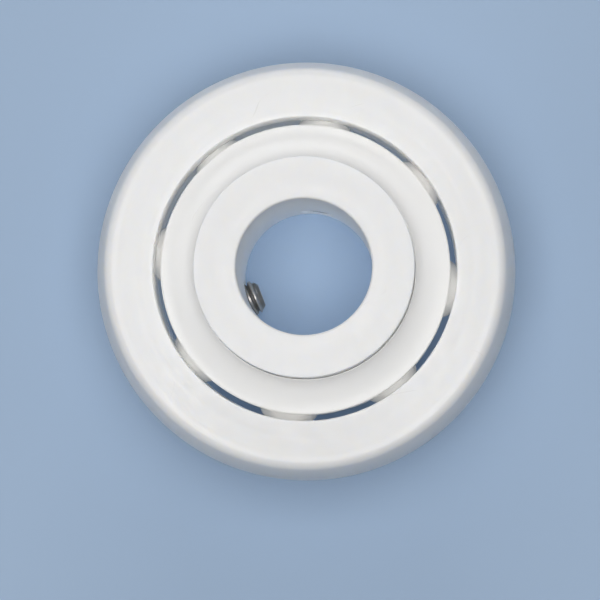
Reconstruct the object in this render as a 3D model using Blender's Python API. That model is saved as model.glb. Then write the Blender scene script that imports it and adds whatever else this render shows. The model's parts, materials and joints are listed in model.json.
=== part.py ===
"""A polymer insert ball bearing: spherical outside, wide inner ring, two set screws.

Every piece is its own solid. The bearing's axis is +Z. The origin is the middle of the
inner ring's long end face, on which the bearing stands, so the short end looks up.
The objects are parented as the real pieces carry each other: the outer ring carries the
inner ring and the cage, the cage carries the balls, the inner ring carries the screws.
"""
from math import asin, atan2, cos, degrees, pi, radians, sin, sqrt

import bmesh
import bpy
from mathutils import Matrix

MM = 0.001

# Driving sizes of the bearing: 15 mm shaft, 47 mm spherical seat
BORE_R = 7.5 * MM
SEAT_SPHERE_R = 23.5 * MM
OUTER_RING_WIDTH = 16.0 * MM
INNER_RING_LENGTH = 31.0 * MM
SHORT_END_Z = 12.7 * MM                              # from the middle plane, upwards
LONG_END_Z = SHORT_END_Z - INNER_RING_LENGTH         # from the middle plane, downwards
MIDDLE_PLANE_HEIGHT = -LONG_END_Z

# Balls and raceways
BALL_COUNT = 8
BALL_R = 3.572 * MM
PITCH_R = 14.35 * MM
FIRST_BALL_DEG = -7.1
GROOVE_R = 1.04 * BALL_R
RACEWAY_CLEARANCE = 0.08 * MM

# Rings
INNER_RING_R = 12.2 * MM
OUTER_RING_LAND_R = 16.9 * MM
BORE_CHAMFER = 0.35 * MM
RING_CHAMFER = 0.3 * MM
LAND_CHAMFER = 0.15 * MM
SEAT_EDGE_R = 0.9 * MM                               # rounding between the seat and a face

# Cage: a closed collar above the balls, with fingers that reach down between them
CAGE_INNER_R = 12.29 * MM
CAGE_OUTER_R = 16.15 * MM
CAGE_INNER_TOP = 7.9 * MM                            # heights from the middle plane
CAGE_OUTER_TOP = 5.9 * MM
CAGE_BOTTOM = -2.0 * MM
CAGE_EDGE_R = 0.5 * MM
CAGE_CHAMFER = 0.12 * MM
POCKET_R = BALL_R + 0.2 * MM
SLOT_TOP = 1.9 * MM                                  # slot between two neighbouring fingers
SLOT_TOP_R = 0.7 * MM
SLOT_FOOT_HALF_WIDTH = 1.35 * MM

# Set screws: M4 x 5, flat point, hexagon socket
SCREW_R = 1.97 * MM
SCREW_LENGTH = 5.0 * MM
SCREW_POINT_R = 1.25 * MM
SCREW_HEAD_CHAMFER = 0.3 * MM
SCREW_HOLE_R = 2.05 * MM
SCREW_FROM_LONG_END = 4.8 * MM
SOCKET_ACROSS_FLATS = 2.0 * MM
SOCKET_DEPTH = 2.0 * MM
SCREW_ANGLES_DEG = (201.0, 81.0)
SCREW_TIPS_R = (5.85 * MM, 7.55 * MM)                # tip's distance from the bearing's axis

RING_SEGMENTS = 64
BALL_SEGMENTS = 16
BALL_RINGS = 10
POCKET_SEGMENTS = 20
POCKET_RINGS = 12
SCREW_SEGMENTS = 24
GROOVE_STEPS = 8
SEAT_STEPS = 6
EDGE_STEPS = 3
SLOT_STEPS = 6
SHARP_ANGLE_DEG = 32


def clear_scene():
    for obj in list(bpy.data.objects):
        bpy.data.objects.remove(obj, do_unlink=True)


def make_material(name, colour, roughness, metallic):
    """A Principled material; colour is linear red, green, blue."""
    material = bpy.data.materials.new(name)
    material.use_nodes = True
    shader = material.node_tree.nodes["Principled BSDF"]
    shader.inputs["Base Color"].default_value = (*colour, 1.0)
    shader.inputs["Roughness"].default_value = roughness
    shader.inputs["Metallic"].default_value = metallic
    return material


def add_object(name, mesh, material=None, parent=None, matrix=None):
    """An object placed by matrix in its parent's space, with smooth round faces."""
    obj = bpy.data.objects.new(name, mesh)
    bpy.context.scene.collection.objects.link(obj)
    obj.parent = parent
    obj.matrix_local = matrix or Matrix.Identity(4)
    if material:
        mesh.materials.append(material)
    mesh.shade_smooth()
    mesh.set_sharp_from_angle(angle=radians(SHARP_ANGLE_DEG))
    return obj


def mesh_from(name, mesh_data):
    """The bmesh as a mesh whose faces all point out."""
    bmesh.ops.recalc_face_normals(mesh_data, faces=mesh_data.faces)
    mesh = bpy.data.meshes.new(name)
    mesh_data.to_mesh(mesh)
    mesh_data.free()
    return mesh


def cut(target, cutter):
    """Take the cutter away from the target and keep it as a hidden guide."""
    cutter.hide_render = True
    cutter.display_type = "WIRE"
    modifier = target.modifiers.new("cut_" + cutter.name, "BOOLEAN")
    modifier.operation = "DIFFERENCE"
    modifier.solver = "EXACT"
    modifier.object = cutter


def arc(centre, radius, start_deg, end_deg, steps):
    """Points (across, up) along an arc, both ends included."""
    points = []
    for step in range(steps + 1):
        angle = radians(start_deg + (end_deg - start_deg) * step / steps)
        points.append((centre[0] + radius * cos(angle), centre[1] + radius * sin(angle)))
    return points


def turned_mesh(name, outline, segments):
    """Turn a closed (radius, height) outline about Z; points on the axis become poles."""
    mesh_data = bmesh.new()
    rings = []
    for radius, height in outline:
        if radius == 0:
            rings.append([mesh_data.verts.new((0, 0, height))] * segments)
            continue
        ring = []
        for step in range(segments):
            angle = 2 * pi * step / segments
            ring.append(mesh_data.verts.new((radius * cos(angle), radius * sin(angle), height)))
        rings.append(ring)
    for ring, following in zip(rings, rings[1:] + rings[:1]):
        for step in range(segments):
            ahead = (step + 1) % segments
            corners = [ring[step], ring[ahead], following[ahead], following[step]]
            corners = list(dict.fromkeys(corners))
            if len(corners) > 2:
                mesh_data.faces.new(corners)
    return mesh_from(name, mesh_data)


def groove_points(centre_radius, land_radius):
    """A raceway groove, from its lower edge to its upper edge, on the land's radius."""
    edge_deg = degrees(atan2(sqrt(GROOVE_R**2 - (land_radius - centre_radius)**2),
                             land_radius - centre_radius))
    if land_radius > centre_radius:
        return arc((centre_radius, 0), GROOVE_R, -edge_deg, edge_deg, GROOVE_STEPS)
    return arc((centre_radius, 0), GROOVE_R, -edge_deg, edge_deg - 360, GROOVE_STEPS)


def outer_ring_outline():
    half = OUTER_RING_WIDTH / 2
    # The edge rounding touches the face (at half) and the seat sphere from inside
    edge_z = half - SEAT_EDGE_R
    edge_r = sqrt((SEAT_SPHERE_R - SEAT_EDGE_R)**2 - edge_z**2)
    touch_deg = degrees(asin(edge_z / (SEAT_SPHERE_R - SEAT_EDGE_R)))
    seat = arc((0, 0), SEAT_SPHERE_R, -touch_deg, touch_deg, SEAT_STEPS)
    upper_edge = arc((edge_r, edge_z), SEAT_EDGE_R, touch_deg, 90, EDGE_STEPS)[1:]
    lower_edge = arc((edge_r, -edge_z), SEAT_EDGE_R, -90, -touch_deg, EDGE_STEPS)[:-1]
    groove_centre = PITCH_R + BALL_R + RACEWAY_CLEARANCE - GROOVE_R
    raceway = groove_points(groove_centre, OUTER_RING_LAND_R)
    upper_land = [(OUTER_RING_LAND_R + LAND_CHAMFER, half),
                  (OUTER_RING_LAND_R, half - LAND_CHAMFER)]
    lower_land = [(OUTER_RING_LAND_R, LAND_CHAMFER - half),
                  (OUTER_RING_LAND_R + LAND_CHAMFER, -half)]
    return lower_edge + seat + upper_edge + upper_land + raceway[::-1] + lower_land


def inner_ring_outline():
    groove_centre = PITCH_R - BALL_R - RACEWAY_CLEARANCE + GROOVE_R
    raceway = groove_points(groove_centre, INNER_RING_R)
    return [
        (BORE_R, LONG_END_Z + BORE_CHAMFER),
        (BORE_R + BORE_CHAMFER, LONG_END_Z),
        (INNER_RING_R - RING_CHAMFER, LONG_END_Z),
        (INNER_RING_R, LONG_END_Z + RING_CHAMFER),
        *raceway,
        (INNER_RING_R, SHORT_END_Z - RING_CHAMFER),
        (INNER_RING_R - RING_CHAMFER, SHORT_END_Z),
        (BORE_R + BORE_CHAMFER, SHORT_END_Z),
        (BORE_R, SHORT_END_Z - BORE_CHAMFER),
    ]


def cage_outline():
    """The collar's front is a cone that falls outwards and ends in a rounded edge."""
    slope_deg = degrees(atan2(CAGE_INNER_TOP - CAGE_OUTER_TOP, CAGE_OUTER_R - CAGE_INNER_R))
    edge_centre = (CAGE_OUTER_R - CAGE_EDGE_R, CAGE_OUTER_TOP - CAGE_EDGE_R)
    rounded_edge = arc(edge_centre, CAGE_EDGE_R, 0, 90 - slope_deg, EDGE_STEPS)
    return [
        (CAGE_INNER_R, CAGE_BOTTOM + CAGE_CHAMFER),
        (CAGE_INNER_R + CAGE_CHAMFER, CAGE_BOTTOM),
        (CAGE_OUTER_R - CAGE_CHAMFER, CAGE_BOTTOM),
        (CAGE_OUTER_R, CAGE_BOTTOM + CAGE_CHAMFER),
        *rounded_edge,
        (CAGE_INNER_R + CAGE_CHAMFER, CAGE_INNER_TOP),
        (CAGE_INNER_R, CAGE_INNER_TOP - CAGE_CHAMFER),
    ]


def at_pitch(angle_deg):
    """Local X points outwards, at the pitch circle."""
    turn = Matrix.Rotation(radians(angle_deg), 4, "Z")
    return turn @ Matrix.Translation((PITCH_R, 0, 0))


def ball_angles():
    return [FIRST_BALL_DEG + 360 / BALL_COUNT * index for index in range(BALL_COUNT)]


def pockets_mesh():
    mesh_data = bmesh.new()
    for angle in ball_angles():
        bmesh.ops.create_uvsphere(mesh_data, u_segments=POCKET_SEGMENTS, v_segments=POCKET_RINGS,
                                  radius=POCKET_R, matrix=at_pitch(angle))
    return mesh_from("pockets", mesh_data)


def slots_mesh():
    """Round-topped slots, wider at the foot, each halfway between two pockets."""
    below = CAGE_BOTTOM - SLOT_TOP_R
    top = arc((0, SLOT_TOP - SLOT_TOP_R), SLOT_TOP_R, 0, 180, SLOT_STEPS)
    outline = [(-SLOT_FOOT_HALF_WIDTH, below), (SLOT_FOOT_HALF_WIDTH, below), *top]
    reach = CAGE_OUTER_R - CAGE_INNER_R
    mesh_data = bmesh.new()
    for angle in ball_angles():
        place = at_pitch(angle + 180 / BALL_COUNT)
        near = [mesh_data.verts.new(place @ Matrix.Translation((-reach, y, z)).translation)
                for y, z in outline]
        far = [mesh_data.verts.new(place @ Matrix.Translation((reach, y, z)).translation)
               for y, z in outline]
        mesh_data.faces.new(near)
        mesh_data.faces.new(far)
        for index in range(len(outline)):
            mesh_data.faces.new([near[index - 1], near[index], far[index], far[index - 1]])
    return mesh_from("slots", mesh_data)


def ball_mesh():
    mesh_data = bmesh.new()
    bmesh.ops.create_uvsphere(mesh_data, u_segments=BALL_SEGMENTS, v_segments=BALL_RINGS,
                              radius=BALL_R)
    return mesh_from("ball", mesh_data)


def screw_outline():
    """From the middle of the flat point (height 0) up to the middle of the socket end."""
    return [
        (0, 0),
        (SCREW_POINT_R, 0),
        (SCREW_R, SCREW_R - SCREW_POINT_R),
        (SCREW_R, SCREW_LENGTH - SCREW_HEAD_CHAMFER),
        (SCREW_R - SCREW_HEAD_CHAMFER, SCREW_LENGTH),
        (0, SCREW_LENGTH),
    ]


def socket_mesh():
    """A hexagonal prism that reaches SOCKET_DEPTH into the screw's outer end."""
    corner_r = SOCKET_ACROSS_FLATS / 2 / cos(pi / 6)
    overshoot = SOCKET_DEPTH / 2
    middle = SCREW_LENGTH + (overshoot - SOCKET_DEPTH) / 2
    mesh_data = bmesh.new()
    bmesh.ops.create_cone(mesh_data, cap_ends=True, segments=6, radius1=corner_r,
                          radius2=corner_r, depth=SOCKET_DEPTH + overshoot,
                          matrix=Matrix.Translation((0, 0, middle)))
    return mesh_from("socket", mesh_data)


def screw_place(index):
    """Local +Z points outwards along the screw's hole, and local 0 is the screw's tip."""
    turn = Matrix.Rotation(radians(SCREW_ANGLES_DEG[index]), 4, "Z")
    height = LONG_END_Z + SCREW_FROM_LONG_END
    tip = Matrix.Translation((SCREW_TIPS_R[index], 0, height))
    return turn @ tip @ Matrix.Rotation(radians(90), 4, "Y")


def screw_holes_mesh():
    """Round holes through one wall of the inner ring, one for each set screw."""
    length = 2 * (INNER_RING_R - BORE_R)
    mesh_data = bmesh.new()
    for index in range(len(SCREW_ANGLES_DEG)):
        from_tip = (BORE_R + INNER_RING_R) / 2 - SCREW_TIPS_R[index]
        matrix = screw_place(index) @ Matrix.Translation((0, 0, from_tip))
        bmesh.ops.create_cone(mesh_data, cap_ends=True, segments=SCREW_SEGMENTS,
                              radius1=SCREW_HOLE_R, radius2=SCREW_HOLE_R, depth=length,
                              matrix=matrix)
    return mesh_from("screw_holes", mesh_data)


def build():
    clear_scene()
    ring_polymer = make_material("ring_polymer", (0.80, 0.79, 0.77), 0.42, 0.0)
    cage_polymer = make_material("cage_polymer", (0.81, 0.80, 0.79), 0.45, 0.0)
    ball_ceramic = make_material("ball_ceramic", (0.76, 0.76, 0.75), 0.22, 0.0)
    stainless = make_material("stainless_steel", (0.42, 0.41, 0.40), 0.30, 1.0)

    outer_ring = add_object(
        "outer_ring", turned_mesh("outer_ring", outer_ring_outline(), RING_SEGMENTS),
        ring_polymer, matrix=Matrix.Translation((0, 0, MIDDLE_PLANE_HEIGHT)))

    inner_ring = add_object(
        "inner_ring", turned_mesh("inner_ring", inner_ring_outline(), RING_SEGMENTS),
        ring_polymer, outer_ring)
    cut(inner_ring, add_object("screw_holes", screw_holes_mesh(), parent=inner_ring))

    cage = add_object(
        "ball_cage", turned_mesh("ball_cage", cage_outline(), RING_SEGMENTS),
        cage_polymer, outer_ring)
    cut(cage, add_object("pockets", pockets_mesh(), parent=cage))
    cut(cage, add_object("slots", slots_mesh(), parent=cage))

    for index, angle in enumerate(ball_angles(), start=1):
        add_object(f"ball_{index}", ball_mesh(), ball_ceramic, cage, at_pitch(angle))

    for index in range(len(SCREW_ANGLES_DEG)):
        name = f"set_screw_{index + 1}"
        screw = add_object(name, turned_mesh(name, screw_outline(), SCREW_SEGMENTS),
                           stainless, inner_ring, screw_place(index))
        cut(screw, add_object(name + "_socket", socket_mesh(), parent=screw))


build()
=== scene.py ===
"""Looks of the polymer insert ball bearing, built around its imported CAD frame.

Every piece is made again with a fine surface in the CAD frame: turned rings, a moulded cage,
lapped balls and threaded set screws. Every turned shape is an outline of (radius, height)
points, and these heights are measured from the bearing's middle plane. Lengths are in metres.
"""
import json
from math import asin, atan2, ceil, cos, degrees, pi, radians, sin, sqrt, tan

import bmesh
import bpy
import numpy as np
from mathutils import Matrix, Vector


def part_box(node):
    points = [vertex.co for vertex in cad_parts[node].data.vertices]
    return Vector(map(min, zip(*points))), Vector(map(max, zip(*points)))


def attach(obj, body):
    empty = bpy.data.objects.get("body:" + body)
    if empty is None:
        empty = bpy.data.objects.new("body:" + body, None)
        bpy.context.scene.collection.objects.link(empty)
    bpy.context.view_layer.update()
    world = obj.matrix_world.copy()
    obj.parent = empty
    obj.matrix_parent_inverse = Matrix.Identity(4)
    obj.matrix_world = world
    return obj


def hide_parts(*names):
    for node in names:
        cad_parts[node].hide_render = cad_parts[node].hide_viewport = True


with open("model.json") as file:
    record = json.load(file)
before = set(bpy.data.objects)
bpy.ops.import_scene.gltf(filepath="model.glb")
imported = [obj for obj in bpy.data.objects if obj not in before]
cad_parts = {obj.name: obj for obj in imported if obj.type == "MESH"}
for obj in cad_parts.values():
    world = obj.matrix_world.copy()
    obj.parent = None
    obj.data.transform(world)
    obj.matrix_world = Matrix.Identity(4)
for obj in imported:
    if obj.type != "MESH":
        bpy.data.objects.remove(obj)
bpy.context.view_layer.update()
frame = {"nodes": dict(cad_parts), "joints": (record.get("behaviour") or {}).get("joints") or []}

MM = 0.001

# Places and main sizes, read from the frame
JOINTS = {joint["name"]: joint for joint in frame["joints"]}
MIDDLE = JOINTS["inner_ring_spin"]["pos_m"][2]
_, OUTER_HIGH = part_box("outer_ring")
INNER_LOW, INNER_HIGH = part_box("inner_ring")
CAGE_LOW, CAGE_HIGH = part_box("ball_cage")
SEAT_SPHERE_R = OUTER_HIGH.x
HALF_WIDTH = OUTER_HIGH.z - MIDDLE
INNER_RING_R = INNER_HIGH.x
SHORT_END = INNER_HIGH.z - MIDDLE
LONG_END = INNER_LOW.z - MIDDLE
CAGE_OUTER_R = CAGE_HIGH.x
CAGE_INNER_TOP = CAGE_HIGH.z - MIDDLE
CAGE_BOTTOM = CAGE_LOW.z - MIDDLE
BALL_NAMES = sorted(name for name in frame["nodes"]
                    if name.startswith("ball_") and name != "ball_cage")
SCREW_NAMES = sorted(name for name in frame["nodes"] if name.startswith("set_screw_"))
BALL_CENTRES = {name: Vector(JOINTS[name + "_roll"]["pos_m"]) for name in BALL_NAMES}
BALL_R = (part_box("ball_1")[1].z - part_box("ball_1")[0].z) / 2
PITCH_R = BALL_CENTRES["ball_1"].xy.length

# Sizes that the frame's boxes don't give
BORE_R = 7.5 * MM
OUTER_LAND_R = 16.87 * MM
CAGE_INNER_R = 12.25 * MM
CAGE_OUTER_TOP = 5.9 * MM
GROOVE_TO_BALL = 1.04
GROOVE_R = GROOVE_TO_BALL * BALL_R
RACEWAY_CLEARANCE = 0.08 * MM
POCKET_CLEARANCE = 0.2 * MM
POCKET_R = BALL_R + POCKET_CLEARANCE
SLOT_TOP = 1.9 * MM
SLOT_TOP_R = 0.7 * MM
SLOT_FOOT_HALF_WIDTH = 1.35 * MM

# Edge roundings
SEAT_EDGE_R = 1.05 * MM
BORE_EDGE_R = 0.25 * MM
INNER_EDGE_R = 0.12 * MM
LAND_EDGE_R = 0.12 * MM
GROOVE_EDGE_R = 0.1 * MM
CAGE_EDGE_R = 0.5 * MM
CAGE_SMALL_EDGE_R = 0.12 * MM

# Set screws: M4 with a flat point and a hexagon socket, in tapped holes
SCREW_R = 1.97 * MM
SCREW_LENGTH = 5.0 * MM
SCREW_POINT_R = 1.25 * MM
SCREW_HEAD_CHAMFER = 0.35 * MM
THREAD_PITCH = 0.7 * MM
THREAD_DEPTH = 0.36 * MM
HOLE_CREST_R = 2.04 * MM
HOLE_THREAD_DEPTH = 0.28 * MM
HOLE_COUNTERSINK_R = 2.5 * MM
SOCKET_SIDES = 6
SOCKET_ACROSS_FLATS = 2.0 * MM
SOCKET_DEPTH = 2.0 * MM
SOCKET_LEAD_IN = 0.2 * MM

# A thread's profile is a peak cut off flat at its crest and root. The phase is in turns, the
# peak's height in thread depths and its slope in thread depths per turn.
THREAD_PHASE = 0.32
THREAD_PEAK = 1.9
THREAD_SLOPE = 4.6

# How far a cutter reaches past the surfaces that it cuts
OVERSHOOT = 1 * MM

# Fineness of the surfaces, and the angle from which an edge is shaded as a sharp one
RING_SEGMENTS = 288
ARC_STEP_DEG = 4
BALL_GRID = 22
THREAD_SEGMENTS = 72
THREAD_STEPS_PER_PITCH = 10
LEAD_IN_SEGMENTS = 48
SHARP_EDGE_DEG = 30


# ---------------------------------------------------------------- camera

# As the picture shows it, the camera stands a little to the right of the axis and below it, and
# aims just left of the axis and below it. Sensor width and focal length are in millimetres.
CAMERA_ABOVE_TOP = 0.500
CAMERA_RIGHT = 0.0118
CAMERA_DOWN = 0.0220
AIM_LEFT = 0.00041
AIM_DOWN = 0.00367
SENSOR_WIDTH = 36.0
FOCAL_LENGTH = 273.7
CLIP_START = 0.01
CLIP_END = 20


def add_camera():
    data = bpy.data.cameras.new("camera")
    data.sensor_width = SENSOR_WIDTH
    data.lens = FOCAL_LENGTH
    data.clip_start = CLIP_START
    data.clip_end = CLIP_END
    camera = bpy.data.objects.new("camera", data)
    bpy.context.scene.collection.objects.link(camera)
    camera.location = (CAMERA_RIGHT, -CAMERA_DOWN, INNER_HIGH.z + CAMERA_ABOVE_TOP)
    aim = Vector((-AIM_LEFT, -AIM_DOWN, INNER_HIGH.z))
    backwards = (camera.location - aim).normalized()
    right = Vector((0, 1, 0)).cross(backwards).normalized()
    up = backwards.cross(right)
    camera.rotation_euler = Matrix((right, up, backwards)).transposed().to_euler()
    bpy.context.scene.camera = camera


# ---------------------------------------------------------------- shapes

def arc(centre, radius, start_deg, end_deg):
    """Points (radius, height) along an arc, both ends included."""
    sweep = end_deg - start_deg
    steps = max(2, ceil(abs(sweep) / ARC_STEP_DEG))
    angles = [radians(start_deg + sweep * step / steps) for step in range(steps + 1)]
    return [(centre[0] + radius * cos(a), centre[1] + radius * sin(a)) for a in angles]


def filleted(corners):
    """A closed outline from (radius, height, rounding) corners; rounding 0 keeps the corner."""
    outline = []
    for index, (x, y, rounding) in enumerate(corners):
        here = Vector((x, y))
        if not rounding:
            outline.append((x, y))
            continue
        back = (Vector(corners[index - 1][:2]) - here).normalized()
        ahead = (Vector(corners[(index + 1) % len(corners)][:2]) - here).normalized()
        half_angle = back.angle(ahead) / 2
        reach = rounding / tan(half_angle)
        centre = here + (back + ahead).normalized() * (rounding / sin(half_angle))
        start = here + back * reach - centre
        end = here + ahead * reach - centre
        start_deg = degrees(atan2(start.y, start.x))
        turn = (degrees(atan2(end.y, end.x)) - start_deg + 180) % 360 - 180
        outline += arc(centre, rounding, start_deg, start_deg + turn)
    return outline


def circle_angles(count):
    return np.arange(count) * 2 * pi / count


def circle_row(angles, radius, z):
    """Points round Z; the radius is one number or one for each angle."""
    return np.column_stack((radius * np.cos(angles), radius * np.sin(angles),
                            np.full(len(angles), z)))


def mesh_from_grid(name, rows, closed):
    """A mesh from rows of points that each go round: closed joins the last row to the first,
    otherwise the first and the last row are capped."""
    points = np.concatenate(rows)
    around = len(rows[0])
    faces = []
    for row in range(len(rows) if closed else len(rows) - 1):
        here, above = row * around, (row + 1) % len(rows) * around
        for step in range(around):
            ahead = (step + 1) % around
            faces.append((here + step, here + ahead, above + ahead, above + step))
    if not closed:
        faces.append(tuple(range(around))[::-1])
        faces.append(tuple(range(len(points) - around, len(points))))
    mesh = bpy.data.meshes.new(name)
    mesh.from_pydata(points.tolist(), [], faces)
    return mesh


def face_outwards(mesh):
    data = bmesh.new()
    data.from_mesh(mesh)
    bmesh.ops.recalc_face_normals(data, faces=data.faces)
    data.to_mesh(mesh)
    data.free()


def turned_mesh(name, outline):
    """Turn a closed outline about the bearing's axis."""
    angles = circle_angles(RING_SEGMENTS)
    rows = [circle_row(angles, r, MIDDLE + z) for r, z in outline]
    mesh = mesh_from_grid(name, rows, closed=True)
    face_outwards(mesh)
    return mesh


def add_object(name, mesh):
    obj = bpy.data.objects.new(name, mesh)
    bpy.context.scene.collection.objects.link(obj)
    return obj


def cut(target, cutter_mesh):
    """Take a cutter away from the target for good."""
    cutter = add_object("cutter", cutter_mesh)
    modifier = target.modifiers.new("cut", "BOOLEAN")
    modifier.operation = "DIFFERENCE"
    modifier.solver = "EXACT"
    modifier.object = cutter
    bpy.context.view_layer.update()
    evaluated = target.evaluated_get(bpy.context.evaluated_depsgraph_get())
    old_mesh, target.data = target.data, bpy.data.meshes.new_from_object(evaluated)
    target.modifiers.clear()
    bpy.data.meshes.remove(old_mesh)
    bpy.data.objects.remove(cutter)


def finish_piece(obj, node, body, material):
    """Smooth shading, the material, and the piece's place in the frame."""
    obj.data.shade_smooth()
    obj.data.set_sharp_from_angle(angle=radians(SHARP_EDGE_DEG))
    obj.data.materials.clear()
    obj.data.materials.append(material)
    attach(obj, body)
    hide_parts(node)


def groove_points(centre_radius, land_radius):
    """A raceway's arc, from its lower to its upper edge; both edges are on the land's radius."""
    across = land_radius - centre_radius
    edge_deg = degrees(atan2(sqrt(GROOVE_R**2 - across**2), across))
    far_deg = edge_deg if across > 0 else edge_deg - 360
    return arc((centre_radius, 0), GROOVE_R, -edge_deg, far_deg)


def raceway_corners(centre_radius, land_radius):
    """The same arc as corners, with its two edges slightly rounded."""
    points = groove_points(centre_radius, land_radius)
    roundings = [GROOVE_EDGE_R] + [0] * (len(points) - 2) + [GROOVE_EDGE_R]
    return [(r, z, rounding) for (r, z), rounding in zip(points, roundings)]


# ---------------------------------------------------------------- rings

def outer_ring_mesh():
    # The edge rounding touches the flat face and the seat sphere from inside
    edge_z = HALF_WIDTH - SEAT_EDGE_R
    edge_r = sqrt((SEAT_SPHERE_R - SEAT_EDGE_R)**2 - edge_z**2)
    touch_deg = degrees(asin(edge_z / (SEAT_SPHERE_R - SEAT_EDGE_R)))
    seat = arc((0, 0), SEAT_SPHERE_R, -touch_deg, touch_deg)
    upper_edge = arc((edge_r, edge_z), SEAT_EDGE_R, touch_deg, 90)[1:]
    lower_edge = arc((edge_r, -edge_z), SEAT_EDGE_R, -90, -touch_deg)[:-1]
    groove_centre = PITCH_R + BALL_R + RACEWAY_CLEARANCE - GROOVE_R
    outside = [(r, z, 0) for r, z in lower_edge + seat + upper_edge]
    return turned_mesh("outer_ring", filleted([
        *outside,
        (OUTER_LAND_R, HALF_WIDTH, LAND_EDGE_R),
        *raceway_corners(groove_centre, OUTER_LAND_R)[::-1],
        (OUTER_LAND_R, -HALF_WIDTH, LAND_EDGE_R),
    ]))


def inner_ring_mesh():
    groove_centre = PITCH_R - BALL_R - RACEWAY_CLEARANCE + GROOVE_R
    return turned_mesh("inner_ring", filleted([
        (BORE_R, LONG_END, BORE_EDGE_R),
        (INNER_RING_R, LONG_END, INNER_EDGE_R),
        *raceway_corners(groove_centre, INNER_RING_R),
        (INNER_RING_R, SHORT_END, INNER_EDGE_R),
        (BORE_R, SHORT_END, BORE_EDGE_R),
    ]))


# ---------------------------------------------------------------- set screws

def screw_frame(name):
    """A screw's own axes: local Z runs outwards along it, from 0 at its tip at rest."""
    outwards = -Vector(JOINTS[name + "_drive"]["axis"])
    low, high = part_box(name)
    tip_distance = min(vert.co @ outwards for vert in frame["nodes"][name].data.vertices)
    tip = outwards * tip_distance
    tip.z = (low.z + high.z) / 2
    return Matrix.Translation(tip) @ outwards.to_track_quat("Z", "Y").to_matrix().to_4x4()


def thread_wave(turns):
    """A thread's profile over one turn: 0 in the root, 1 on the flat crest."""
    phase = (turns - THREAD_PHASE) % 1
    return np.clip(THREAD_PEAK - np.abs(phase - 0.5) * THREAD_SLOPE, 0, 1)


def threaded_rows(heights, radius_at):
    """Rows of points round local Z; radius_at(height, wave) gives the radii of a row."""
    angles = circle_angles(THREAD_SEGMENTS)
    rows = []
    for height in heights:
        wave = thread_wave(height / THREAD_PITCH - angles / (2 * pi))
        rows.append(circle_row(angles, radius_at(height, wave), height))
    return rows


def thread_heights(start, end):
    step = THREAD_PITCH / THREAD_STEPS_PER_PITCH
    return np.linspace(start, end, max(2, round((end - start) / step)) + 1)


def prism_mesh(sides, sections):
    """A closed prism or cone round local Z from (radius, height) sections."""
    rows = [circle_row(circle_angles(sides), r, z) for r, z in sections]
    mesh = mesh_from_grid("prism", rows, closed=False)
    face_outwards(mesh)
    return mesh


def screw_piece(name):
    """A threaded rod with a chamfered flat point and a hexagon socket in its outer end."""
    # Both chamfers are at 45 degrees
    def radius_at(height, wave):
        thread = SCREW_R - THREAD_DEPTH * (1 - wave)
        point = SCREW_POINT_R + height
        head = SCREW_R - SCREW_HEAD_CHAMFER + (SCREW_LENGTH - height)
        return np.minimum(thread, min(point, head))

    rows = threaded_rows(thread_heights(0, SCREW_LENGTH), radius_at)
    rod = mesh_from_grid(name, rows, closed=False)
    face_outwards(rod)
    obj = add_object(name, rod)
    corner_r = SOCKET_ACROSS_FLATS / 2 / cos(pi / SOCKET_SIDES)
    cut(obj, prism_mesh(SOCKET_SIDES, [(corner_r, SCREW_LENGTH - SOCKET_DEPTH),
                                       (corner_r, SCREW_LENGTH + OVERSHOOT)]))
    lead_in_r = corner_r + SOCKET_LEAD_IN / 2
    cut(obj, prism_mesh(LEAD_IN_SEGMENTS, [
        (lead_in_r - SOCKET_LEAD_IN, SCREW_LENGTH - SOCKET_LEAD_IN),
        (lead_in_r + SOCKET_LEAD_IN, SCREW_LENGTH + SOCKET_LEAD_IN),
    ]))
    return obj


def tapped_hole_mesh(name):
    """A cutter through one wall of the inner ring, countersunk where it leaves the outside."""
    place = screw_frame(name)
    tip_r = place.translation.xy.length
    start, end = BORE_R - OVERSHOOT - tip_r, INNER_RING_R + OVERSHOOT - tip_r
    outside = INNER_RING_R - tip_r

    def radius_at(height, wave):
        thread = HOLE_CREST_R + HOLE_THREAD_DEPTH * wave
        return np.maximum(thread, HOLE_COUNTERSINK_R + (height - outside))

    rows = threaded_rows(thread_heights(start, end), radius_at)
    mesh = mesh_from_grid("tapped_hole", rows, closed=False)
    mesh.transform(place)
    face_outwards(mesh)
    return mesh


# ---------------------------------------------------------------- cage and balls

def at_pitch(angle_deg):
    """A place on the pitch circle in the middle plane, with its local X pointing outwards."""
    turn = Matrix.Rotation(radians(angle_deg), 4, "Z")
    return turn @ Matrix.Translation((PITCH_R, 0, MIDDLE))


def ball_angle(name):
    centre = BALL_CENTRES[name]
    return degrees(atan2(centre.y, centre.x))


def quad_sphere_mesh(name, radius):
    """A cube of even quads pushed out to a sphere, so that it has no poles."""
    data = bmesh.new()
    bmesh.ops.create_cube(data, size=2)
    bmesh.ops.subdivide_edges(data, edges=data.edges, cuts=BALL_GRID - 1, use_grid_fill=True)
    for vert in data.verts:
        # Equal angles along each cube face keep the quads even
        vert.co = Vector([tan(c * pi / 4) for c in vert.co]).normalized() * radius
    mesh = bpy.data.meshes.new(name)
    data.to_mesh(mesh)
    data.free()
    return mesh


def joined_mesh(name, meshes):
    data = bmesh.new()
    for mesh in meshes:
        data.from_mesh(mesh)
        bpy.data.meshes.remove(mesh)
    joined = bpy.data.meshes.new(name)
    data.to_mesh(joined)
    data.free()
    return joined


def pockets_mesh():
    pockets = []
    for name in BALL_NAMES:
        pocket = quad_sphere_mesh("pocket", POCKET_R)
        pocket.transform(at_pitch(ball_angle(name)))
        pockets.append(pocket)
    return joined_mesh("pockets", pockets)


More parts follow.
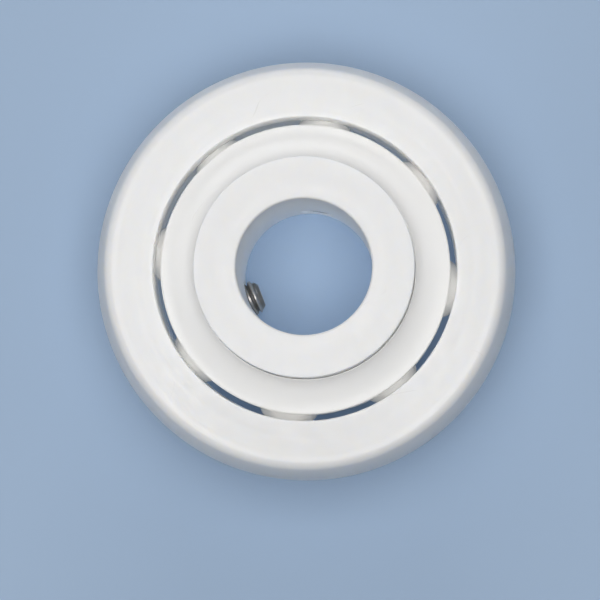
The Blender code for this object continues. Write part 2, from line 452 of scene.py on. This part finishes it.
def slots_mesh():
    """Round-topped slots, wider at the foot, each halfway between two pockets."""
    below = CAGE_BOTTOM - SLOT_TOP_R
    outline = [(-SLOT_FOOT_HALF_WIDTH, below), (SLOT_FOOT_HALF_WIDTH, below),
               *arc((0, SLOT_TOP - SLOT_TOP_R), SLOT_TOP_R, 0, 180)]
    reach = CAGE_OUTER_R - CAGE_INNER_R
    slots = []
    for name in BALL_NAMES:
        rows = [np.array([(x, y, z) for y, z in outline]) for x in (-reach, reach)]
        slot = mesh_from_grid("slot", rows, closed=False)
        slot.transform(at_pitch(ball_angle(name) + 180 / len(BALL_NAMES)))
        face_outwards(slot)
        slots.append(slot)
    return joined_mesh("slots", slots)


def cage_mesh():
    edge = CAGE_SMALL_EDGE_R
    return turned_mesh("ball_cage", filleted([
        (CAGE_INNER_R, CAGE_BOTTOM, edge),
        (CAGE_OUTER_R, CAGE_BOTTOM, edge),
        (CAGE_OUTER_R, CAGE_OUTER_TOP, CAGE_EDGE_R),
        (CAGE_INNER_R, CAGE_INNER_TOP, edge),
    ]))


# ---------------------------------------------------------------- materials

# The Mix node's sockets for colours
MIX_FIRST, MIX_SECOND, MIX_RESULT = 6, 7, 2

# Pairs of tones that a material drifts between, and the tones mixed in over them
RING_WHITES = (0.985, 0.98, 0.97, 1), (0.975, 0.975, 0.965, 1)
CAGE_WHITES = (0.995, 0.99, 0.98, 1), (0.985, 0.985, 0.98, 1)
BALL_WHITES = (0.985, 0.98, 0.97, 1), (0.995, 0.99, 0.985, 1)
STEEL_TONES = (0.46, 0.435, 0.405, 1), (0.62, 0.595, 0.565, 1)
WORN_WHITE = (0.62, 0.61, 0.59, 1)
BALL_TRACK_WHITE = (0.70, 0.69, 0.66, 1)
# Painted shade, mixed into the base colour of the screws' thread roots
THREAD_ROOT_PAINTED_SHADE = (0.18, 0.17, 0.155, 1)

# Rubbing: how far it reaches from an edge, the circle that it follows on the outer ring's rim,
# how much it greys the white and how much smoother it makes it
WEAR_WIDTH = 0.5 * MM
SEAT_RIM_R = 22.0 * MM
WEAR_TONE = 0.10
WEAR_SMOOTHING = 0.12

# Hairlines run where a noise of this spacing comes this near to its middle, only in patches that
# lie this many times closer, and they grey the white by this much
HAIRLINE_SPACING = 9 * MM
HAIRLINE_HALF_WIDTH = 0.003
HAIRLINE_PATCHES = 1.7
HAIRLINE_TONE = 0.30

# Share of the light that scatters under the surface
RING_SCATTER = 1.0
CAGE_SCATTER = 0.2

# The balls roll on a band of this half width, which fades out over its edge
TRACK_HALF_WIDTH = 0.35 * MM
TRACK_FADED = 0.6 * MM

# The painted shade in the thread roots ends this far below the crests, and fades in beside the flat
# point
ROOT_END_DEPTH = 0.05 * MM
POINT_FADE = 0.1 * MM


class Nodes:
    """A short way to write a material's node tree."""

    def __init__(self, name):
        self.material = bpy.data.materials.new(name)
        self.material.use_nodes = True
        self.tree = self.material.node_tree
        self.shader = self.tree.nodes["Principled BSDF"]

    def add(self, kind, inputs=None, **settings):
        """A new node; an input is a value or another node's output socket."""
        node = self.tree.nodes.new(kind)
        for setting, value in settings.items():
            setattr(node, setting, value)
        for socket, value in (inputs or {}).items():
            self.put(node.inputs[socket], value)
        return node

    def put(self, socket, value):
        if isinstance(value, bpy.types.NodeSocket):
            self.tree.links.new(value, socket)
        else:
            socket.default_value = value

    def maths(self, operation, *values):
        node = self.add("ShaderNodeMath", operation=operation)
        for index, value in enumerate(values):
            self.put(node.inputs[index], value)
        return node.outputs[0]

    def noise(self, place, scale, detail, roughness, along=False):
        """Noise over a place, or along a single number; the scale is per metre."""
        inputs = {"W" if along else "Vector": place, "Scale": scale, "Detail": detail,
                  "Roughness": roughness}
        node = self.add("ShaderNodeTexNoise", inputs, noise_dimensions="1D" if along else "3D")
        return node.outputs["Fac"]

    def ramp(self, value, start, end, low=0.0, high=1.0):
        """Low up to the start, high from the end on, and a straight line in between."""
        inputs = {"Value": value, "From Min": start, "From Max": end, "To Min": low, "To Max": high}
        return self.add("ShaderNodeMapRange", inputs).outputs["Result"]

    def mix_colour(self, factor, first, second):
        node = self.add("ShaderNodeMix", data_type="RGBA")
        self.put(node.inputs["Factor"], factor)
        self.put(node.inputs[MIX_FIRST], first)
        self.put(node.inputs[MIX_SECOND], second)
        return node.outputs[MIX_RESULT]

    def bump(self, height, distance, strength, normal=None):
        inputs = {"Height": height, "Distance": distance, "Strength": strength}
        if normal is not None:
            inputs["Normal"] = normal
        return self.add("ShaderNodeBump", inputs).outputs["Normal"]

    def object_place(self):
        """The object's own coordinates, with the distance from its Z axis and the height."""
        place = self.add("ShaderNodeTexCoord").outputs["Object"]
        split = self.add("ShaderNodeSeparateXYZ", {"Vector": place})
        flat = self.add("ShaderNodeCombineXYZ", {"X": split.outputs["X"], "Y": split.outputs["Y"]})
        length = self.add("ShaderNodeVectorMath", {0: flat.outputs[0]}, operation="LENGTH")
        return place, length.outputs["Value"], split.outputs["Z"]

    def surface(self, values):
        """Give the shader its values, by the names of its inputs."""
        for name, value in values.items():
            self.put(self.shader.inputs[name], value)
        return self.material


def hairlines_on(nodes, place):
    """1 on a few short curved hairlines, 0 elsewhere."""
    curves = nodes.noise(place, scale=1 / HAIRLINE_SPACING, detail=1.0, roughness=0.4)
    off_middle = nodes.maths("ABSOLUTE", nodes.maths("SUBTRACT", curves, 0.5))
    line = nodes.ramp(off_middle, 0.0, HAIRLINE_HALF_WIDTH, low=1.0, high=0.0)
    patches = nodes.noise(place, scale=HAIRLINE_PATCHES / HAIRLINE_SPACING, detail=2.0, roughness=0.5)
    return nodes.maths("MULTIPLY", line, nodes.ramp(patches, 0.60, 0.68))


def edge_wear(nodes, place, radius, height, edges):
    """Towards 1 in rubbed patches along the turned edges, given as (radius, height) circles."""
    section = nodes.add("ShaderNodeCombineXYZ", {"X": radius, "Y": height}).outputs[0]
    nearest = None
    for edge_r, edge_z in edges:
        away = nodes.add("ShaderNodeVectorMath", {0: section, 1: (edge_r, MIDDLE + edge_z, 0)},
                         operation="DISTANCE").outputs["Value"]
        nearest = away if nearest is None else nodes.maths("MINIMUM", nearest, away)
    rubbed = nodes.noise(place, scale=700.0, detail=4.0, roughness=0.7)
    return nodes.maths("MULTIPLY", nodes.ramp(nearest, 0.0, WEAR_WIDTH, low=1.0, high=0.0),
                       nodes.ramp(rubbed, 0.42, 0.62))


def acetal(name, whites, edges, turned, scatter):
    """White acetal: slightly translucent and satin, rubbed along its edges, with a few hairlines."""
    nodes = Nodes(name)
    place, radius, height = nodes.object_place()
    wear = edge_wear(nodes, place, radius, height, edges)
    hairlines = hairlines_on(nodes, place)

    # Tone drifts a little over the part, and is greyer on rubbed edges and hairlines
    cloud = nodes.noise(place, scale=120.0, detail=3.0, roughness=0.5)
    colour = nodes.mix_colour(nodes.ramp(cloud, 0.35, 0.65), *whites)
    used = nodes.maths("ADD", nodes.maths("MULTIPLY", wear, WEAR_TONE),
                       nodes.maths("MULTIPLY", hairlines, HAIRLINE_TONE))
    colour = nodes.mix_colour(used, colour, WORN_WHITE)

    # Fine grain, hairlines, and where it was turned the fine rings and slow bands of the tool
    grain = nodes.noise(place, scale=9000.0, detail=2.0, roughness=0.6)
    normal = nodes.bump(grain, distance=0.002 * MM, strength=0.5)
    unscratched = nodes.maths("SUBTRACT", 1.0, hairlines)
    normal = nodes.bump(unscratched, distance=0.006 * MM, strength=0.6, normal=normal)
    smear = nodes.noise(place, scale=900.0, detail=3.0, roughness=0.6)
    if turned:
        tool_path = nodes.maths("ADD", radius, height)
        rings = nodes.noise(tool_path, scale=9000.0, detail=3.0, roughness=0.65, along=True)
        bands = nodes.noise(tool_path, scale=1400.0, detail=1.0, roughness=0.5, along=True)
        normal = nodes.bump(rings, distance=0.005 * MM, strength=0.7, normal=normal)
        smear = nodes.maths("ADD", nodes.maths("MULTIPLY", smear, 0.4),
                            nodes.maths("MULTIPLY", rings, 0.3))
        smear = nodes.maths("ADD", smear, nodes.maths("MULTIPLY", bands, 0.3))
    roughness = nodes.ramp(smear, 0.35, 0.65, low=0.34, high=0.52)
    return nodes.surface({
        "Base Color": colour,
        "Roughness": nodes.maths("SUBTRACT", roughness, nodes.maths("MULTIPLY", wear, WEAR_SMOOTHING)),
        "Normal": normal,
        "IOR": 1.48,
        "Subsurface Weight": scatter,
        "Subsurface Radius": (1.0, 0.95, 0.85),
        "Subsurface Scale": 0.7 * MM,
    })


def ceramic():
    """Lapped white ceramic: hard, dense and glossy, hazier on the band where the ball rolls."""
    nodes = Nodes("ball_ceramic")
    place = nodes.add("ShaderNodeTexCoord").outputs["Object"]
    height = nodes.add("ShaderNodeSeparateXYZ", {"Vector": place}).outputs["Z"]
    off_middle = nodes.maths("ABSOLUTE", height)
    track = nodes.ramp(off_middle, TRACK_HALF_WIDTH, TRACK_FADED, low=1.0, high=0.0)
    cloud = nodes.noise(place, scale=500.0, detail=2.0, roughness=0.5)
    colour = nodes.mix_colour(nodes.ramp(cloud, 0.3, 0.7), *BALL_WHITES)
    haze = nodes.noise(place, scale=6000.0, detail=3.0, roughness=0.6)
    roughness = nodes.ramp(haze, 0.3, 0.7, low=0.12, high=0.24)
    return nodes.surface({
        "Base Color": nodes.mix_colour(nodes.maths("MULTIPLY", track, 0.08), colour, BALL_TRACK_WHITE),
        "Roughness": nodes.maths("ADD", roughness, nodes.maths("MULTIPLY", track, 0.10)),
        "Normal": nodes.bump(haze, distance=0.0005 * MM, strength=0.4),
        "IOR": 1.76,
        "Diffuse Roughness": 1.0,
        "Subsurface Weight": 0.2,
        "Subsurface Radius": (1.0, 0.95, 0.9),
        "Subsurface Scale": 0.5 * MM,
    })


def stainless():
    """Machined stainless steel; the thread roots are rougher, and painted shade darkens them."""
    nodes = Nodes("screw_steel")
    place, radius, _ = nodes.object_place()
    below_crest = nodes.ramp(radius, SCREW_R - THREAD_DEPTH, SCREW_R - ROOT_END_DEPTH, low=1.0, high=0.0)
    off_point = nodes.ramp(radius, SCREW_POINT_R, SCREW_POINT_R + POINT_FADE)
    root = nodes.maths("MULTIPLY", below_crest, off_point)
    stain = nodes.noise(place, scale=1500.0, detail=4.0, roughness=0.6)
    colour = nodes.mix_colour(nodes.ramp(stain, 0.35, 0.65), *STEEL_TONES)
    grain = nodes.noise(place, scale=12000.0, detail=3.0, roughness=0.7)
    turning = nodes.noise(radius, scale=16000.0, detail=2.0, roughness=0.6, along=True)
    roughness = nodes.ramp(grain, 0.3, 0.7, low=0.30, high=0.46)
    normal = nodes.bump(grain, distance=0.002 * MM, strength=0.5)
    return nodes.surface({
        # Painted shade: the base colour is darkened in the thread roots, where light falls less
        "Base Color": nodes.mix_colour(nodes.maths("MULTIPLY", root, 0.6), colour, THREAD_ROOT_PAINTED_SHADE),
        "Roughness": nodes.maths("ADD", roughness, nodes.maths("MULTIPLY", root, 0.2)),
        "Normal": nodes.bump(turning, distance=0.003 * MM, strength=0.5, normal=normal),
        "Metallic": 1.0,
    })


# ---------------------------------------------------------------- stage

FLOOR_HALF = 3.0
FLOOR_COLOUR = (0.40, 0.53, 0.71, 1)
FLOOR_ROUGHNESS = 0.8
WORLD_COLOUR = (1.0, 1.0, 1.0, 1)
WORLD_STRENGTH = 0.05
LIGHT_DISTANCE = 1.0

# Light is passed on many times between the white walls of the gaps and the bore
LIGHT_BOUNCES = 24

# Soft lights: azimuth and elevation in degrees, size in metres, power in watts. Azimuth 90 is
# the picture's top and elevation 90 is overhead.
SOFTBOXES = {
    "overhead": (90, 89.9, (0.5, 0.5), 4.8),
    "overhead_lower_side": (270, 80, (0.4, 0.3), 1.6),
    "upper_side": (90, 22, (0.6, 0.35), 2.1),
    "left_side": (180, 22, (0.6, 0.35), 1.0),
    "right_side": (0, 45, (0.6, 0.35), 0.4),
}


def add_floor():
    mesh = bpy.data.meshes.new("floor")
    corners = [(-FLOOR_HALF, -FLOOR_HALF, 0), (FLOOR_HALF, -FLOOR_HALF, 0),
               (FLOOR_HALF, FLOOR_HALF, 0), (-FLOOR_HALF, FLOOR_HALF, 0)]
    mesh.from_pydata(corners, [], [(0, 1, 2, 3)])
    floor = add_object("floor", mesh)
    looks = {"Base Color": FLOOR_COLOUR, "Roughness": FLOOR_ROUGHNESS}
    mesh.materials.append(Nodes("floor").surface(looks))


def add_softbox(name, azimuth_deg, elevation_deg, size, watts):
    """A soft light aimed at the part."""
    data = bpy.data.lights.new(name, "AREA")
    data.shape = "RECTANGLE"
    data.size, data.size_y = size
    data.energy = watts
    light = bpy.data.objects.new(name, data)
    bpy.context.scene.collection.objects.link(light)
    azimuth, elevation = radians(azimuth_deg), radians(elevation_deg)
    outwards = Vector((cos(azimuth) * cos(elevation), sin(azimuth) * cos(elevation),
                       sin(elevation)))
    light.location = outwards * LIGHT_DISTANCE + Vector((0, 0, MIDDLE))
    light.rotation_euler = (-outwards).to_track_quat("-Z", "Y").to_euler()


def add_lights():
    world = bpy.data.worlds.new("studio")
    bpy.context.scene.world = world
    world.use_nodes = True
    background = world.node_tree.nodes["Background"]
    background.inputs["Color"].default_value = WORLD_COLOUR
    background.inputs["Strength"].default_value = WORLD_STRENGTH
    for name, softbox in SOFTBOXES.items():
        add_softbox(name, *softbox)
    scene = bpy.context.scene
    scene.view_settings.view_transform = "Standard"
    scene.cycles.max_bounces = LIGHT_BOUNCES
    scene.cycles.diffuse_bounces = LIGHT_BOUNCES


# ---------------------------------------------------------------- assembly

def build():
    outer_edges = [(r, z) for r in (OUTER_LAND_R, SEAT_RIM_R) for z in (HALF_WIDTH, -HALF_WIDTH)]
    inner_edges = [(r, z) for z in (SHORT_END, LONG_END) for r in (BORE_R, INNER_RING_R)]
    cage_edges = [(CAGE_OUTER_R, CAGE_OUTER_TOP), (CAGE_INNER_R, CAGE_INNER_TOP),
                  (CAGE_OUTER_R, CAGE_BOTTOM)]
    outer_white = acetal("outer_ring_polymer", RING_WHITES, outer_edges, turned=True,
                         scatter=RING_SCATTER)
    inner_white = acetal("inner_ring_polymer", RING_WHITES, inner_edges, turned=True,
                         scatter=RING_SCATTER)
    cage_white = acetal("cage_polymer", CAGE_WHITES, cage_edges, turned=False,
                        scatter=CAGE_SCATTER)
    ball_white = ceramic()
    steel = stainless()

    outer = add_object("outer_ring_surface", outer_ring_mesh())
    finish_piece(outer, "outer_ring", "outer_ring", outer_white)

    inner = add_object("inner_ring_surface", inner_ring_mesh())
    for name in SCREW_NAMES:
        cut(inner, tapped_hole_mesh(name))
    finish_piece(inner, "inner_ring", "inner_ring", inner_white)

    cage = add_object("ball_cage_surface", cage_mesh())
    cut(cage, pockets_mesh())
    cut(cage, slots_mesh())
    finish_piece(cage, "ball_cage", "cage", cage_white)

    for name in BALL_NAMES:
        ball = add_object(name + "_surface", quad_sphere_mesh(name, BALL_R))
        ball.location = BALL_CENTRES[name]
        finish_piece(ball, name, name, ball_white)

    for name in SCREW_NAMES:
        screw = screw_piece(name + "_surface")
        screw.matrix_world = screw_frame(name)
        finish_piece(screw, name, name, steel)


add_camera()
add_floor()
add_lights()
build()
